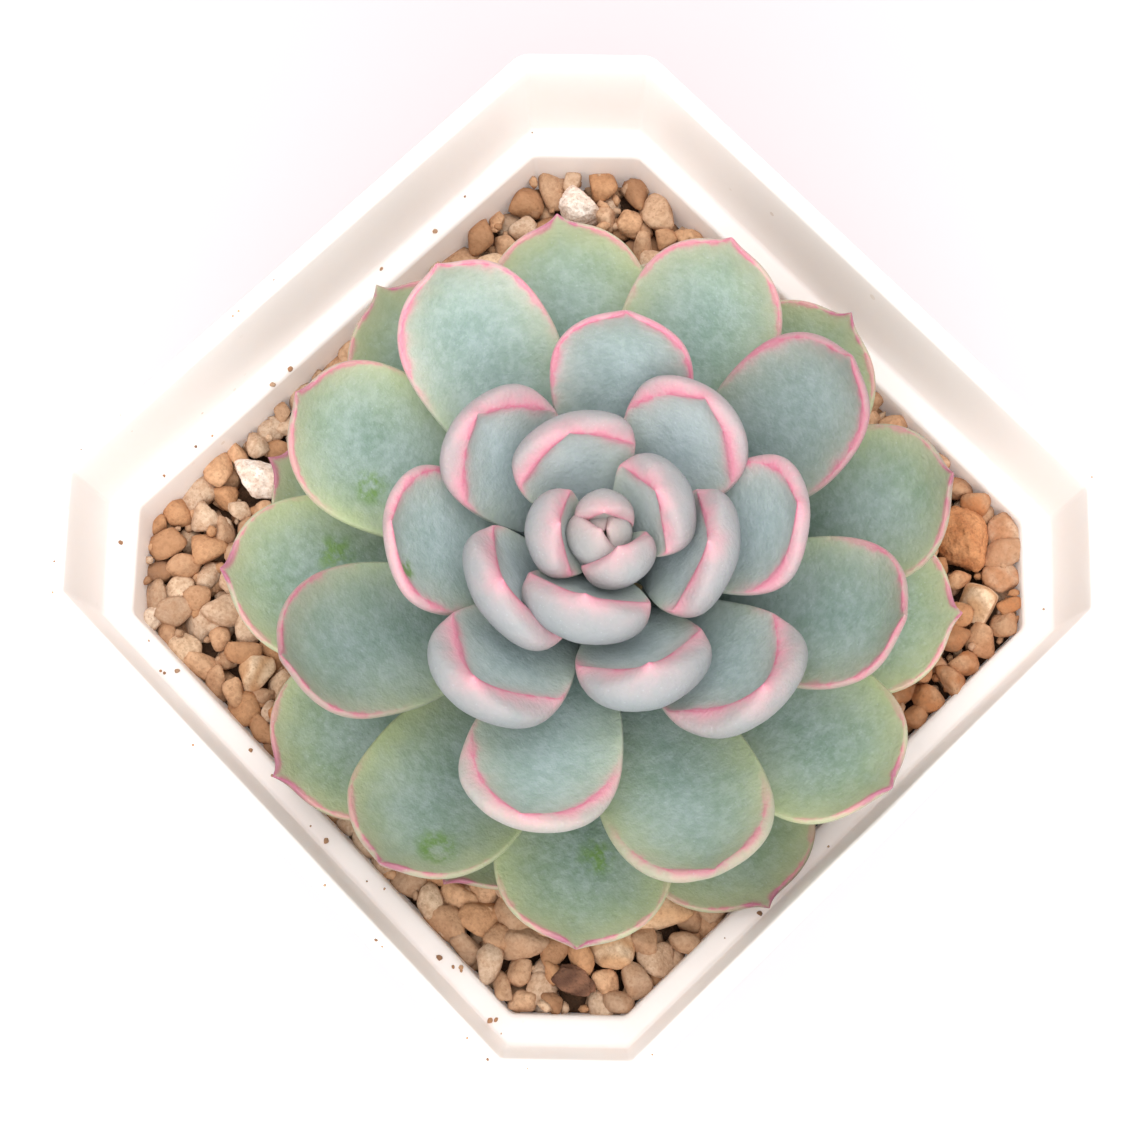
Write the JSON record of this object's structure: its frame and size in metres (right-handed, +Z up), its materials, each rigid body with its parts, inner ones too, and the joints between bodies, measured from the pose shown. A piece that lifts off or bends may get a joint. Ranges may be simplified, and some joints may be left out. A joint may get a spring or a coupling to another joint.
{
  "type": "potted succulent",
  "caption": "Echeveria rosette with blue-green, pink-edged leaves, growing in gritty mix in a square white nursery pot with cut corners.",
  "frame": {"origin": "middle of the pot's foot, in the plane that the pot stands on", "axes": "+Z up, along the pot's height; the pot's sides lie along X and Y; the rosette stands 4.3 mm off the middle towards +X"},
  "size_m": [0.085, 0.085, 0.0939],
  "materials": {
    "pot": "satin",
    "leaf": "satin",
    "stem": "matte",
    "grit": "matte",
    "pumice": "matte",
    "stone": "matte",
    "clump": "matte",
    "pebble": "matte",
    "bark": "matte"
  },
  "bodies": {
    "root": {"pot": "pot", "grit_bed": "grit", "stem": "stem", "leaf_01": "leaf", "leaf_02": "leaf", "leaf_03": "leaf", "leaf_04": "leaf", "leaf_05": "leaf", "leaf_06": "leaf", "leaf_07": "leaf", "leaf_08": "leaf", "leaf_09": "leaf", "leaf_10": "leaf", "leaf_11": "leaf", "leaf_12": "leaf", "leaf_13": "leaf", "leaf_14": "leaf", "leaf_15": "leaf", "leaf_16": "leaf", "leaf_17": "leaf", "leaf_18": "leaf", "leaf_19": "leaf", "leaf_20": "leaf", "leaf_21": "leaf", "leaf_22": "leaf", "leaf_23": "leaf", "leaf_24": "leaf", "leaf_25": "leaf", "leaf_26": "leaf", "leaf_27": "leaf", "leaf_28": "leaf", "leaf_29": "leaf", "leaf_30": "leaf", "leaf_31": "leaf", "leaf_32": "leaf", "leaf_33": "leaf", "leaf_34": "leaf", "leaf_35": "leaf", "leaf_36": "leaf", "leaf_37": "leaf", "leaf_38": "leaf", "leaf_39": "leaf", "leaf_40": "leaf", "leaf_41": "leaf", "leaf_42": "leaf", "leaf_43": "leaf", "leaf_44": "leaf", "leaf_45": "leaf", "pumice_white": "pumice", "pumice_wedge": "pumice", "stone_dark": "stone", "clump_large": "clump", "clump_ochre": "clump", "clump_brown": "clump", "pebble_pale": "pebble", "pebble_oval": "pebble", "pebble_long": "pebble", "pebble_round": "pebble", "bark_chip": "bark"}
  },
  "joints": []
}
